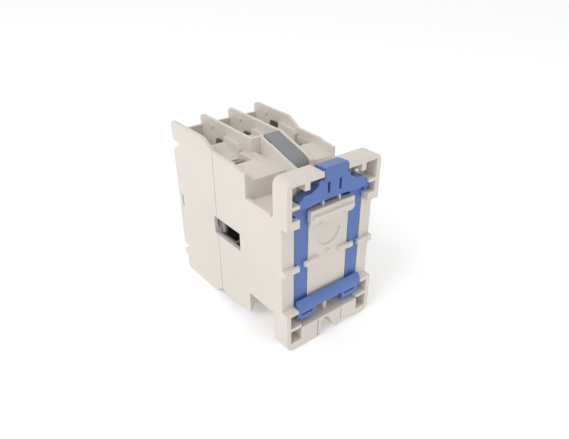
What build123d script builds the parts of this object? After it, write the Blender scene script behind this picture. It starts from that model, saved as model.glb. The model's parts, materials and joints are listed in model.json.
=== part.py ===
import os

from build123d import *

# Three pole contactor for a 35 mm rail, with its coil, magnet, contacts and rail slider.
# Millimetres. X is the width, the rear plane is Y = 0 and the front looks along -Y, Z is up.
# The origin is on the rear plane, level with the middle of the rail.

# ---- driving dimensions ----
WIDTH = 45.0
HEIGHT = 74.0
DEPTH = 80.5
WALL = 1.5                    # outer walls and the barriers between poles
POLE_PITCH = 14.5
STROKE = 5.0                  # travel of the magnet and the contact carrier
CONTACT_GAP = 3.8             # open contacts; the rest of the stroke presses the contact springs
CLIP_TRAVEL = 2.0             # travel of the rail slider
GAP = 0.3                     # free space round parts that move

SEAT_Y = -3.2                 # face that lies on the rail
PLATE_Y = -8.0                # front of the rear plate and of the mounting flanges
BLOCK_Y = -25.0               # rear of the upper and lower terminal blocks
SEAM_Y = -47.5                # base housing meets contact housing
FRONT_Y = -DEPTH

RAIL_HALF = 18.5              # half the recess for the 35 mm rail
SHELF_Z = 22.0                # half height of the housing behind the terminal blocks
BLOCK_Z = 33.3                # half height at the front of the terminal blocks
BLOCK_REAR_Z = 31.6
RAMP_FRONT_Z = 29.8           # floor between the side walls, behind the wire entries
RAMP_REAR_Z = 28.3
TIP_Z = 37.2                  # top of the barriers

MOUNT_X = 35.0                # mounting holes, centre to centre
MOUNT_Z = 60.0
MOUNT_R = 2.25
SCREW_SEAT_Y = -5.5           # rear end of the bosses round the mounting holes

WEDGE_X = (-6.5, 1.8)         # slot for the coil former's wing
WEDGE_FRONT_Y = -42.0
WEDGE_END_Y = -21.5

half_w = WIDTH / 2
half_h = HEIGHT / 2
inner_x = half_w - WALL
barrier_x = POLE_PITCH / 2
bay_half = barrier_x - WALL / 2
poles = (-POLE_PITCH, 0.0, POLE_PITCH)

# ---- contact stack along Y, from the fixed strips forward ----
STRIP_Y = -59.6               # rear face of the fixed power contacts
STRIP_T = 1.2
TIP_T = 0.8
BRIDGE_T = 1.0
strip_front = STRIP_Y - STRIP_T
fixed_tip_y = strip_front - TIP_T
bridge_tip_y = fixed_tip_y - CONTACT_GAP
bridge_rear = bridge_tip_y - TIP_T
bridge_front = bridge_rear - BRIDGE_T
window_rear = bridge_rear + GAP
window_front = bridge_front - 5.6

AUX_STRIP_Y = -50.2           # the same for the auxiliary contact
aux_strip_front = AUX_STRIP_Y - 1.0
aux_tip_y = aux_strip_front - 0.6
aux_bridge_tip_y = aux_tip_y - CONTACT_GAP
aux_bridge_rear = aux_bridge_tip_y - 0.6
aux_bridge_front = aux_bridge_rear - 0.8
aux_window_rear = aux_bridge_rear + GAP
aux_window_front = aux_bridge_front - 4.0
AUX_X = -POLE_PITCH

# ---- magnet ----
STACK_HALF = 6.5              # half the lamination stack
CORE_Z = 19.0
LIMB_Z = 13.2                 # inner face of the outer limbs
CENTRE_Z = 5.5                # half the centre limb
POLE_FACE_Y = -31.0           # where the two cores meet
CORE_REAR_Y = -9.2
YOKE = 6.0
armature_face = POLE_FACE_Y - STROKE - 0.02
armature_front = armature_face - 14.0

COIL_REAR = -16.8
COIL_FRONT = -37.2
RETURN_X = 11.5               # the two return springs, either side of the carrier

# ---- terminals ----
POWER_SCREW_Z = 22.9
CONTROL_SCREW_Z = 25.2
CONTROL_STRIP_Y = -43.5
CONTROL_REAR_Y = -38.2        # rear wall of the control terminals
POCKET_Y = -59.2              # rear wall of the power terminals' pockets
DECK_FRONT_Z = 30.9           # height of the bay floor at that wall
DECK_SLOPE = -0.33
SCREW_BOSS_R = 2.05

# ---- rail slider ----
SLIDER_Y = -3.3               # rear face of its arms
ARM_X = (10.3, 16.5)
ARM_T = 1.9
PLATE_T = (-4.6, -0.9)
PLATE_LIP_Y = -1.9            # the plate's lower edge is thinned to here, over two ribs of the hook
HOOK_Z = 22.4                 # top of the fixed rail hook


def box(x0, x1, y0, y1, z0, z1):
    size = (x1 - x0, y1 - y0, z1 - z0)
    middle = ((x0 + x1) / 2, (y0 + y1) / 2, (z0 + z1) / 2)
    return Pos(*middle) * Box(*size)


def slab_x(points, x0, x1):
    """A (Y, Z) outline extruded along X."""
    face = make_face(Polyline(*[(0, y, z) for y, z in points], close=True))
    return Pos(x0, 0, 0) * extrude(face, amount=x1 - x0, dir=(1, 0, 0))


def slab_y(points, y0, y1):
    """An (X, Z) outline extruded along Y."""
    face = make_face(Polyline(*[(x, 0, z) for x, z in points], close=True))
    return Pos(0, y0, 0) * extrude(face, amount=y1 - y0, dir=(0, 1, 0))


def rod_y(x, z, r, y0, y1):
    return Pos(x, (y0 + y1) / 2, z) * Rot(90, 0, 0) * Cylinder(r, y1 - y0)


def rod_x(y, z, r, x0, x1):
    return Pos((x0 + x1) / 2, y, z) * Rot(0, 90, 0) * Cylinder(r, x1 - x0)


def up_down(shape):
    """A shape and its mirror image below the middle."""
    return shape + shape.mirror(Plane.XY)


def left_right(shape):
    return shape + shape.mirror(Plane.YZ)


def ramp_z(y):
    """Floor height between the side walls of the terminal blocks."""
    share = (y - BLOCK_Y) / (-36.0 - BLOCK_Y)
    return RAMP_REAR_Z + share * (RAMP_FRONT_Z - RAMP_REAR_Z)


def wedge_z(y):
    """Top of the two walls beside the coil former's wing."""
    return 37.0 + (y + 41.5) * -0.305


# ---- housings ----
def side_profile():
    """Upper half of the outline that the base housing shows from the side."""
    return [
        (SEAM_Y, 0), (SEAM_Y, BLOCK_Z + 0.1), (-46.8, BLOCK_Z), (-34.0, 33.0), (-31.3, 32.2),
        (BLOCK_Y, BLOCK_REAR_Z), (BLOCK_Y, SHELF_Z), (PLATE_Y, SHELF_Z), (PLATE_Y, half_h),
        (0, half_h), (0, RAIL_HALF), (SEAT_Y, RAIL_HALF), (SEAT_Y, 0)]


def flange_corners():
    """What is taken off the flanges' corners to round them."""
    r = 3.0
    corner = box(half_w - r, half_w + 1, PLATE_Y - 1, 1, half_h - r, half_h + 1)
    corner -= rod_y(half_w - r, half_h - r, r, PLATE_Y - 1, 1)
    return left_right(corner)


def block_top_cut():
    """Opens the terminal block between its side walls, wire entries included."""
    low = 20.4
    top = half_h + 1
    floor = slab_x([(SEAM_Y - 1, ramp_z(-36)), (-36, ramp_z(-36)), (BLOCK_Y, ramp_z(BLOCK_Y)),
                    (BLOCK_Y + 0.01, low), (PLATE_Y, low), (PLATE_Y, top), (SEAM_Y - 1, top)],
                   -inner_x, inner_x)
    entry = box(9.9, inner_x - 0.3, SEAM_Y - 1, CONTROL_REAR_Y, SHELF_Z, top)
    return floor + left_right(entry)


def block_webs():
    """Walls that stand between the terminal block and the flange."""
    ridge = slab_x([(SEAM_Y, 20), (SEAM_Y, 31.4), (-38.5, 31.4), (PLATE_Y, 22.6), (PLATE_Y, 20)],
                   barrier_x - 0.75, barrier_x + 0.75)
    floor = slab_x([(SEAM_Y, 20), (SEAM_Y, 29.6), (-36, 29.6), (PLATE_Y, 21.6), (PLATE_Y, 20)],
                   WEDGE_X[1], barrier_x)
    left = slab_x([(-36, 20), (-36, wedge_z(-36)), (PLATE_Y, wedge_z(PLATE_Y)), (PLATE_Y, 20)],
                  WEDGE_X[1], WEDGE_X[1] + WALL)
    right = slab_x([(-36, 20), (-36, wedge_z(-36)), (-21.5, wedge_z(-21.5)), (-21.5, 20)],
                   WEDGE_X[0] - WALL, WEDGE_X[0])
    return ridge + floor + left + right


def flange_pockets():
    """Pockets sunk into the upper flange from the rear, with the notch for the thumb tab."""
    floor_y = PLATE_Y + 1.5
    top = box(-20.3, 20.3, floor_y, 1, RAIL_HALF + 1.6, half_h - 2)
    top += box(-20.3, -16.4, floor_y, 1, RAIL_HALF + 3, half_h - 2)
    ribs = left_right(box(12.4, 14.6, floor_y, 0, 32.2, half_h - 1))
    ribs += left_right(box(8.6, 9.8, floor_y, -5.2, 30.5, half_h - 1))
    ribs += left_right(box(16.9, 21, floor_y, 0, 26.2, 27.6))
    ribs += left_right(box(16.8, 21, floor_y, 0, 17.4, 21.9))
    notch = box(-6, 6, PLATE_Y - 1, 1, 30, half_h + 1)
    return top - ribs + notch


def lower_flange_pockets():
    floor_y = PLATE_Y + 1.5
    step = RAIL_HALF + 1.6
    catch = box(-15.2, 15.2, floor_y, 1, -27.8, -RAIL_HALF + 0.4)
    rib = box(-0.9, 0.9, floor_y - 1, -3.4, -32, -23.6)
    side = left_right(box(15.1, 20.5, floor_y, 1, -26.0, -step))
    side += left_right(box(15.2, 20.5, floor_y, 1, -33.6, -27.5))
    slit = left_right(box(6.2, 6.6, floor_y, 1, -half_h - 1, -28.6))
    notch = slab_y([(4.9, -half_h - 1), (4.9, -31.0), (4.4, -29.6), (3.0, -28.9), (1.4, -29.1), (0.2, -30.4),
                    (-0.4, -31.8), (-3.2, -36.6), (-5.9, -34.4), (-10, -35.4), (-14, -36.4), (-17, -37.0),
                    (-17, -half_h - 1)], PLATE_Y - 1, 1)
    return catch - rib + side + slit + notch


def rail_hook():
    """Fixed hook that holds the rail's upper edge and laps over the slider's arms."""
    lap = SLIDER_Y + GAP
    root = box(-ARM_X[0] + GAP, ARM_X[0] - GAP, SEAT_Y - 0.5, lap, 18.0, HOOK_Z)
    outline = [(lap, HOOK_Z), (-1.0, HOOK_Z), (-1.0, 17.4), (-1.9, 16.0), (-1.9, 18.0), (lap, 18.0)]
    hook = slab_x(outline, -10.8, 10.8)
    tongue = slab_x([(-1.0, 18), (-1.0, 16.6), (-1.7, 15.4), (-1.9, 15.4), (-1.9, 18)], -5.1, 5.1)
    ribs = left_right(box(3.6, 4.5, -3.4, PLATE_LIP_Y - GAP, HOOK_Z - 0.5, HOOK_Z + 3.2))
    return root + hook + tongue + ribs


def guide_tabs():
    """Tabs that hold the slider's arms against the plate."""
    over = SLIDER_Y + GAP
    outer = box(ARM_X[1] + GAP, half_w, SEAT_Y - 0.5, -1.6, -1.6, 0.6)
    outer += box(15.2, ARM_X[1] + 1, over, -1.6, -1.6, 0.6)
    outer += box(half_w - 2.2, half_w + 0.0, SEAT_Y - 0.5, -1.3, -1.9, 0.9)
    inner = box(5.2, ARM_X[0] - GAP, SEAT_Y - 0.5, -1.8, -0.9, 1.1)
    inner += box(ARM_X[0] - 1, 12.3, over, -1.6, -0.9, 1.1)
    return left_right(outer + inner)


def slider_grooves():
    """Grooves in the plate for the slider's arms and bar."""
    depth = SLIDER_Y - ARM_T - GAP
    arms = left_right(box(ARM_X[0] - GAP, ARM_X[1] + GAP, depth, 1, -21, 28))
    return arms


def magnet_chamber():
    half = 20.2
    chamber = box(-inner_x + 0.2, inner_x - 0.2, SEAM_Y - 1, PLATE_Y, -half, half)
    windows = left_right(box(inner_x - 1, half_w + 1, SEAM_Y - 1, -30.4, -4.1, 4.1))
    return chamber + windows


def wing_slot():
    """Slot for the coil former's wing, open from the magnet chamber to the top."""
    return box(WEDGE_X[0], WEDGE_X[1], SEAM_Y - 1, WEDGE_END_Y + GAP, 19, half_h + 5)


def control_terminal_cuts():
    """Room for the strips that lead from the coil and the auxiliary contact to their screws."""
    coil_way = box(0, 12, CONTROL_STRIP_Y - 0.2, CONTROL_STRIP_Y + 1.2, 22.2, 25.4)
    aux_way = box(AUX_X - 2.8, AUX_X + 2.8, SEAM_Y - 1, CONTROL_STRIP_Y + 1.2, 21.1, 22.4)
    return up_down(coil_way + aux_way)


def make_base_housing():
    upper = slab_x(side_profile(), -half_w, half_w)
    body = up_down(upper)
    body -= up_down(block_top_cut() + flange_corners())
    body += up_down(block_webs())
    body -= magnet_chamber()
    body -= up_down(wing_slot())
    body -= control_terminal_cuts()
    body -= flange_pockets() + lower_flange_pockets()
    body += guide_tabs() + rail_hook()
    body -= slider_grooves() - guide_tabs() - rail_hook()
    body -= rod_y(0, 10.3, 6.2, SEAT_Y - 0.5, 0) & box(-7, 7, SEAT_Y - 2, 0, 3, 10.3)
    body += rod_y(0, 0.7, 1.05, SEAT_Y - 0.5, SEAT_Y + 0.9)
    nick = slab_x([(PLATE_Y - 2.2, SHELF_Z + 1), (PLATE_Y - 2.2, SHELF_Z), (PLATE_Y - 1.0, SHELF_Z - 1.0),
                   (PLATE_Y, SHELF_Z), (PLATE_Y, SHELF_Z + 1)], inner_x, half_w + 1)
    body -= up_down(left_right(nick))
    body -= left_right(box(half_w - 0.3, half_w + 1, SEAM_Y - 1, SEAM_Y + 0.4, -half_h, half_h))
    for x in (-MOUNT_X / 2, MOUNT_X / 2):
        for z in (-MOUNT_Z / 2, MOUNT_Z / 2):
            body += rod_y(x, z, MOUNT_R + 1.3, PLATE_Y, SCREW_SEAT_Y)
            body -= rod_y(x, z, MOUNT_R, PLATE_Y - 1, 1)
    return body


def front_profile():
    """Upper half of the contact housing's side walls."""
    return [
        (SEAM_Y, 0), (SEAM_Y, BLOCK_Z + 0.1), (-48.6, 33.6), (-50.0, 34.8), (-54.0, TIP_Z - 0.3),
        (-56.0, TIP_Z), (-78.8, TIP_Z + 0.2), (FRONT_Y + 0.3, TIP_Z - 0.8), (FRONT_Y, 35.5), (FRONT_Y, 0)]


def deck_z(y):
    """Roof of the housing behind the power bays."""
    return DECK_FRONT_Z + (y - POCKET_Y) * DECK_SLOPE


def bay_cuts(x):
    """One bay between two barriers: open top, terminal pocket and screwdriver holes."""
    x0, x1 = x - bay_half, x + bay_half
    top = half_h + 1
    over = slab_x([(FRONT_Y - 1, 32.7), (-79.0, 32.7), (-79.0, DECK_FRONT_Z), (POCKET_Y, DECK_FRONT_Z),
                   (SEAM_Y + 1, deck_z(SEAM_Y)), (SEAM_Y + 1, top), (FRONT_Y - 1, top)], x0, x1)
    pocket = box(x0, x1, -79, POCKET_Y, 19.4, 33)
    driver = rod_y(x, POWER_SCREW_Z, 3.3, FRONT_Y - 1, -78)
    driver += rod_y(x, POWER_SCREW_Z, 2.0, POCKET_Y - 0.1, POCKET_Y + 1.8)
    strip = box(x - 2.6, x + 2.6, strip_front - 0.1, STRIP_Y + 0.1, 17, 20)
    cut = over + pocket + driver + strip
    if x != 0:
        cut += rod_y(x, CONTROL_SCREW_Z, 1.8, FRONT_Y - 1, SEAM_Y + 1)
    return cut


def arc_chamber(x):
    return box(x - bay_half, x + bay_half, FRONT_Y + 2, -59.5, -18.2, 18.2)


def catch_notches():
    """Catches cut into the front edges of the side walls."""
    upper = slab_x([(-82, 29.3), (-74.4, 28.2), (-80.4, 24.3), (-82, 24.0)], 19.4, half_w + 1)
    lower = slab_x([(-82, -23.9), (-75.1, -24.2), (-79.6, -27.5), (-82, -27.8)], 19.4, half_w + 1)
    lip = slab_x([(-82, -30.2), (-80.1, -30.2), (-78.3, -31.3), (-78.9, -35.9), (-77.4, -38), (-82, -38)],
                 -half_w - 1, half_w + 1)
    slot = box(half_w - 0.9, half_w + 1, -77.7, -76.4, -2.6, 3.1)
    return left_right(upper + lower + slot) + lip


def barrier_tongues():
    """Barrier ends that reach back over the base housing beside the coil former's wing."""
    near = bay_half
    ends = left_right(box(near, barrier_x + WALL / 2, -56, -41.2, 31.5, TIP_Z - 0.2))
    jog = box(WEDGE_X[1] + 0.3, near, -42.7, -41.2, 29.9, TIP_Z - 0.2)
    left = slab_x([(-42.7, 29.9), (-42.7, 37), (-41.5, 37), (-36.05, wedge_z(-36.05)), (-36.05, 29.9)],
                  WEDGE_X[1] + 0.3, WEDGE_X[1] + WALL)
    right = slab_x([(SEAM_Y - 1, 29.9), (SEAM_Y - 1, 37), (-41.5, 37), (-36.05, wedge_z(-36.05)),
                    (-36.05, 29.9)], WEDGE_X[0] - WALL, WEDGE_X[0])
    floor = box(WEDGE_X[0] - 1, near, SEAM_Y - 1, -42.4, 29.9, 31.2)
    return up_down(ends + jog + left + right + floor)


def bay_details():
    """Ledges and locating bumps on the barriers."""
    ledge = slab_x([(POCKET_Y, 29), (POCKET_Y, 33.3), (SEAM_Y - 1.2, 32.5), (SEAM_Y, 31.0), (SEAM_Y, 26)],
                   -0.1, 1.9)
    parts = Pos(-inner_x, 0, 0) * ledge
    parts += Pos(barrier_x + WALL / 2, 0, 0) * ledge
    parts += Pos(-barrier_x + WALL / 2, 0, 0) * ledge
    for x in (-inner_x, -barrier_x + WALL / 2, barrier_x + WALL / 2):
        parts += rod_x(-70.5, 34.3, 0.8, x - 0.2, x + 0.6)
    return up_down(parts)


def make_contact_housing():
    body = up_down(slab_x(front_profile(), -half_w, half_w))
    for x in poles:
        body -= up_down(bay_cuts(x))
    for x in poles:
        body -= arc_chamber(x)
    body -= box(-20.4, 20.4, FRONT_Y - 1, FRONT_Y + 2.0, -18.2, 18.2)
    body -= box(-inner_x + 0.2, inner_x - 0.2, -58, SEAM_Y + 1, -20.2, 20.2)
    body -= up_down(box(AUX_X - 2.8, AUX_X + 2.8, -51.5, SEAM_Y + 1, 20, 23.6))
    body += barrier_tongues()
    body += bay_details()
    body -= box(-19.9, 19.9, FRONT_Y + 1, -56, -5.3, 5.3)
    body -= left_right(box(inner_x - 1, half_w + 1, -49.5, SEAM_Y + 1, -4.1, 4.1))
    for x, z in housing_screw_places():
        body += rod_y(x, z, SCREW_BOSS_R, -66, SEAM_Y)
        body -= rod_y(x, z, 1.35, -70, SEAM_Y + 1)
        body -= rod_y(x, z, 2.35, -69, -66)
    body -= catch_notches()
    return body


def housing_screw_places():
    return [(x, z) for x in (-19.0, 19.0) for z in (-15.0, 15.0)]


def make_housing_screws():
    shapes = []
    for x, z in housing_screw_places():
        screw = rod_y(x, z, 1.2, -66, -37) + rod_y(x, z, 2.1, -67.6, -66)
        screw -= box(x - 0.3, x + 0.3, -67.7, -66.7, z - 1.4, z + 1.4)
        screw -= box(x - 1.4, x + 1.4, -67.7, -66.7, z - 0.3, z + 0.3)
        shapes.append(screw)
    return Compound(children=shapes)


def make_front_cover():
    face = FRONT_Y + 0.4
    cover = box(-20.2, 20.2, face, face + 1.5, -18.0, 18.0)
    frame = box(-19.0, 19.0, face - 0.4, face, -16.8, 16.8) - box(-17.4, 17.4, face - 1, face, -15.2, 15.2)
    cover -= box(-4.0, 4.0, face - 1, face + 3, -3.0, 3.0)
    cover += box(-5.2, 5.2, face - 0.4, face, -4.2, 4.2) - box(-4.0, 4.0, face - 1, face + 1, -3.0, 3.0)
    for x in (-12.0, -9.0, 9.0, 12.0):
        cover -= box(x - 0.6, x + 0.6, face - 1, face + 3, 9.0, 13.5)
        cover -= box(x - 0.6, x + 0.6, face - 1, face + 3, -13.5, -9.0)
    hooks = left_right(box(11.0, 14.0, face + 1.5, face + 6.5, 16.6, 17.8))
    return cover + frame + up_down(hooks)


# ---- magnet and coil ----
def e_core(rear, face, sign):
    """E outline: a yoke at 'rear' and three limbs that end at 'face'."""
    yoke = rear + sign * YOKE
    upper = [(rear, 0), (rear, CORE_Z), (face, CORE_Z), (face, LIMB_Z), (yoke, LIMB_Z),
             (yoke, CENTRE_Z), (face, CENTRE_Z), (face, 0)]
    return up_down(slab_x(upper, -STACK_HALF, STACK_HALF))


def fixed_rivet_places():
    return [(CORE_REAR_Y - 3.0, z) for z in (-16.0, 0.0, 16.0)]


def moving_rivet_places():
    return [(armature_front + 3.0, z) for z in (-15.5, 15.5)]


def rivet_holes(places):
    holes = rod_x(*places[0], 1.5, -STACK_HALF, STACK_HALF)
    for place in places[1:]:
        holes += rod_x(*place, 1.5, -STACK_HALF, STACK_HALF)
    return holes


def make_rivets(places):
    shapes = []
    for y, z in places:
        rivet = rod_x(y, z, 1.49, -STACK_HALF - 0.6, STACK_HALF + 0.6)
        rivet += rod_x(y, z, 2.3, STACK_HALF, STACK_HALF + 0.6)
        rivet += rod_x(y, z, 2.3, -STACK_HALF - 0.6, -STACK_HALF)
        shapes.append(rivet)
    return Compound(children=shapes)


def make_fixed_core():
    core = e_core(CORE_REAR_Y, POLE_FACE_Y, -1)
    core -= rivet_holes(fixed_rivet_places())
    slots = box(-8, 8, POLE_FACE_Y - 0.1, POLE_FACE_Y + 1.8, 15.4, 16.5)
    slots += box(-8, 8, POLE_FACE_Y - 0.1, POLE_FACE_Y + 1.8, 18.0, 19.1)
    return core - up_down(slots)


def make_shading_rings():
    ring = box(-7.6, 7.6, POLE_FACE_Y + 0.1, POLE_FACE_Y + 1.7, 15.5, 19.0)
    ring -= box(-6.55, 6.55, POLE_FACE_Y - 1, POLE_FACE_Y + 3, 16.4, 18.1)
    return Compound(children=[ring, ring.mirror(Plane.XY)])


def make_core_cushion():
    return box(-6.0, 6.0, CORE_REAR_Y, PLATE_Y, -18, 18)


def make_moving_core():
    core = e_core(armature_front, armature_face, 1)
    core -= rivet_holes(moving_rivet_places())
    return core - rod_x(armature_front + 3, 0, 1.6, -8, 8)


def bobbin_wing():
    """Wing that carries a coil terminal: over the core and up between the two sloping walls."""
    x0, x1 = WEDGE_X[0] + 0.3, WEDGE_X[1] - 0.5
    wing = slab_x([(WEDGE_FRONT_Y, 19.3), (WEDGE_FRONT_Y, wedge_z(WEDGE_FRONT_Y)), (-26.0, wedge_z(-26.0)),
                   (-24.4, wedge_z(-24.4) - 0.3), (-23.3, wedge_z(-23.3) - 1.0), (-22.6, wedge_z(-22.6) - 2.2),
                   (-22.4, wedge_z(-22.4) - 3.6), (-22.4, 24.0), (WEDGE_END_Y, 23.0), (WEDGE_END_Y, 19.3)], x0, x1)
    wing += box(x0, x1, CONTROL_STRIP_Y - 1.4, WEDGE_FRONT_Y, 19.3, 26.4)
    wing += box(x0, 12.0, COIL_FRONT - 1.4, -24.0, 19.3, 20.0)
    wing += box(STACK_HALF + 0.9, 12.0, COIL_FRONT - 1.4, COIL_FRONT, 12.0, 20.0)
    wing -= box(-2.2, 4, CONTROL_STRIP_Y - 0.1, CONTROL_STRIP_Y + 1.1, 22.5, 25.1)
    return wing


def bobbin_side_frame():
    """Arm that reaches forward from the coil former, with the stepped tab seen in the side window."""
    frame = box(15, 20.5, COIL_FRONT - 1.4, COIL_FRONT, -6.8, 6.8)
    frame += box(19.3, 20.5, -49.3, COIL_FRONT, -6.8, 6.8)
    frame -= box(14, 21, -44.6, COIL_FRONT + 1, -4.5, 4.5)
    frame -= box(19, 21, -48.3, -47.6, -0.6, 2.6)
    frame -= box(19, 21, -46.3, -44.0, -4.6, -2.8)
    frame += box(20.5, 21.2, -49.3, -46.9, -3.6, -1.2)
    return frame


def make_coil_bobbin():
    body = box(-8.2, 8.2, COIL_FRONT - 1.4, COIL_REAR + 1.3, -7.2, 7.2)
    body += box(-16, 16, COIL_FRONT - 1.4, COIL_FRONT, -12.9, 12.9)
    body += box(-16, 16, COIL_REAR, COIL_REAR + 1.3, -12.9, 12.9)
    body += up_down(bobbin_wing())
    body -= box(-7.0, 7.0, COIL_FRONT - 2, COIL_REAR + 2, -6.0, 6.0)
    body += left_right(bobbin_side_frame())
    for x in (-RETURN_X, RETURN_X):
        body += rod_y(x, 0, 1.7, COIL_FRONT - 3.0, COIL_FRONT - 1.0)
    return body


def rounded_sleeve(hx, hz, r, y0, y1):
    """Rounded block along Y."""
    core = box(-hx, hx, y0, y1, -hz + r, hz - r) + box(-hx + r, hx - r, y0, y1, -hz, hz)
    for x in (-hx + r, hx - r):
        for z in (-hz + r, hz - r):
            core += rod_y(x, z, r, y0, y1)
    return core


def make_coil_winding():
    hub = box(-8.2, 8.2, COIL_FRONT - 1, COIL_REAR + 1, -7.2, 7.2)
    return rounded_sleeve(14.4, 12.1, 4.0, COIL_FRONT, COIL_REAR) - hub


def make_coil_tape():
    inner = rounded_sleeve(14.4, 12.1, 4.0, COIL_FRONT, COIL_REAR)
    return rounded_sleeve(14.9, 12.6, 4.5, COIL_FRONT, COIL_REAR) - inner


def make_coil_terminal(up):
    strip = box(-2.0, 18.4, CONTROL_STRIP_Y, CONTROL_STRIP_Y + 1.0, 22.6, 25.0)
    strip += box(10.4, 18.6, CONTROL_STRIP_Y, CONTROL_STRIP_Y + 1.0, 22.6, 28.3)
    strip -= rod_y(POLE_PITCH, CONTROL_SCREW_Z, 1.5, CONTROL_STRIP_Y - 1, CONTROL_STRIP_Y + 2)
    return strip if up else strip.mirror(Plane.XY)


def coil_spring(x, z, radius, wire, y0, y1, turns):
    """Helical spring along Y between two seats."""
    height = y1 - y0 - 2 * wire
    path = Helix(pitch=height / turns, height=height, radius=radius)
    section = Plane(path @ 0, z_dir=path % 0) * Circle(wire)
    spring = sweep(section, path=path)
    return Pos(x, y1 - wire, z) * Rot(90, 0, 0) * spring


# ---- contacts ----
def make_power_contact(x, up):
    """Fixed contact strip from the arc chamber to its terminal pocket."""
    strip = box(x - 2.4, x + 2.4, strip_front, STRIP_Y, 6.3, 20.5)
    strip += box(x - 4.2, x + 4.2, strip_front, STRIP_Y, 19.6, 26.5)
    strip -= rod_y(x, POWER_SCREW_Z, 1.75, strip_front - 1, STRIP_Y + 1)
    return strip if up else strip.mirror(Plane.XY)


def make_power_tips():
    shapes = []
    for x in poles:
        tip = rod_y(x, 8.6, 1.9, fixed_tip_y, strip_front)
        shapes += [tip, tip.mirror(Plane.XY)]
    return Compound(children=shapes)


def make_bridge(x):
    return box(x - 2.8, x + 2.8, bridge_front, bridge_rear, -10.8, 10.8)


def make_bridge_tips(x):
    tip = rod_y(x, 8.6, 1.9, bridge_rear, bridge_tip_y)
    return Compound(children=[tip, tip.mirror(Plane.XY)])


def make_aux_contact(up):
    """Fixed contact of the auxiliary pole, with the strip that leads back to its terminal."""
    y1 = AUX_STRIP_Y
    contact = box(AUX_X - 2.4, AUX_X + 2.4, y1 - 1.0, y1, 6.5, 22.2)
    contact += box(AUX_X - 2.4, AUX_X + 2.4, y1 - 1.0, CONTROL_STRIP_Y + 1, 21.3, 22.2)
    contact += box(AUX_X - 4.1, AUX_X + 4.1, CONTROL_STRIP_Y, CONTROL_STRIP_Y + 1, 22.1, 28.3)
    contact -= rod_y(AUX_X, CONTROL_SCREW_Z, 1.5, CONTROL_STRIP_Y - 1, CONTROL_STRIP_Y + 2)
    return contact if up else contact.mirror(Plane.XY)


def make_aux_tips():
    tip = rod_y(AUX_X, 8.2, 1.4, aux_tip_y, aux_strip_front)
    return Compound(children=[tip, tip.mirror(Plane.XY)])


def make_aux_bridge():
    return box(AUX_X - 2.2, AUX_X + 2.2, aux_bridge_front, aux_bridge_rear, -9.8, 9.8)


def make_aux_bridge_tips():
    tip = rod_y(AUX_X, 8.2, 1.4, aux_bridge_rear, aux_bridge_tip_y)
    return Compound(children=[tip, tip.mirror(Plane.XY)])


def make_contact_carrier():
    wing_rear = -53.6
    side = 4.8
    body = box(-19.4, 19.4, window_front - 2.2, -63.5, -side, side)
    body += box(-5.6, 5.6, -63.6, armature_front - 0.9, -side, side)
    body += box(-15.4, 15.4, -56.0, wing_rear, -side, side)
    body += box(AUX_X - 4.0, AUX_X + 4.0, -63.6, wing_rear, -side, side)
    body += left_right(box(STACK_HALF + 0.3, STACK_HALF + 2.1, -54, armature_front + 4.8, -side, side))
    body += box(-3.6, 3.6, FRONT_Y + 1.0, window_front - 2, -2.6, 2.6)
    for x in poles:
        body -= box(x - 3.9, x + 3.9, window_front, window_rear, -side - 1, side + 1)
    body -= box(AUX_X - 2.9, AUX_X + 2.9, aux_window_front, aux_window_rear, -side - 1, side + 1)
    body -= rod_x(armature_front + 3, 0, 1.5, -10, 10)
    return body


def make_armature_cushion():
    return box(-5.0, 5.0, armature_front - 0.9, armature_front, -4.2, 4.2)


def make_armature_pin():
    reach = STACK_HALF + 2.1
    return rod_x(armature_front + 3, 0, 1.49, -reach, reach)


# ---- terminal screws ----
def screw_y(x, z, shank, head, head_front, head_rear, tip):
    """Slotted and cross-recessed terminal screw, driven from the front."""
    body = rod_y(x, z, head, head_front, head_rear) + rod_y(x, z, shank, head_rear - 0.1, tip)
    body -= box(x - head, x + head, head_front - 1, head_front + 0.9, z - 0.4, z + 0.4)
    body -= box(x - 0.4, x + 0.4, head_front - 1, head_front + 0.9, z - head * 0.6, z + head * 0.6)
    return body


def make_power_screws():
    shapes = []
    for x in poles:
        for z in (-POWER_SCREW_Z, POWER_SCREW_Z):
            shapes.append(screw_y(x, z, 1.7, 2.9, -67.2, -64.6, -57.9))
    return Compound(children=shapes)


def make_power_clamps():
    """Saddle clamps: a plate under each screw's head with a wing along each side of the pocket."""
    shapes = []
    reach, inside = bay_half - 0.4, bay_half - 1.1
    for x in poles:
        outward = (x > 0) - (x < 0)
        clamp = box(x - reach, x + reach, -64.6, -63.4, 19.8, 26.3)
        clamp -= rod_y(x, POWER_SCREW_Z, 1.75, -66, -62)
        for side in (-1, 1):
            top = 32.4 if side == outward else 30.4
            wing = slab_x([(-66.6, 25.0), (-66.6, top - 0.8), (-65.8, top), (POCKET_Y - 0.6, top),
                           (POCKET_Y - 0.6, 21.6), (-63.4, 19.8), (-64.6, 19.8), (-64.6, 25.0)],
                          inside, reach)
            clamp += Pos(x, 0, 0) * (wing if side > 0 else wing.mirror(Plane.YZ))
        shapes += [clamp, clamp.mirror(Plane.XY)]
    return Compound(children=shapes)


def control_places():
    return [(x, z) for x in (-POLE_PITCH, POLE_PITCH) for z in (-CONTROL_SCREW_Z, CONTROL_SCREW_Z)]


def make_control_screws():
    rear = CONTROL_STRIP_Y - 1.2
    tip = CONTROL_REAR_Y - 0.6
    return Compound(children=[screw_y(x, z, 1.45, 2.5, rear - 2.0, rear, tip) for x, z in control_places()])


def make_control_washers():
    shapes = []
    for x, z in control_places():
        plate = box(x - 3.2, x + 3.2, CONTROL_STRIP_Y - 1.2, CONTROL_STRIP_Y, z - 2.7, z + 2.7)
        shapes.append(plate - rod_y(x, z, 1.5, CONTROL_STRIP_Y - 2, CONTROL_STRIP_Y + 1))
    return Compound(children=shapes)


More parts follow.
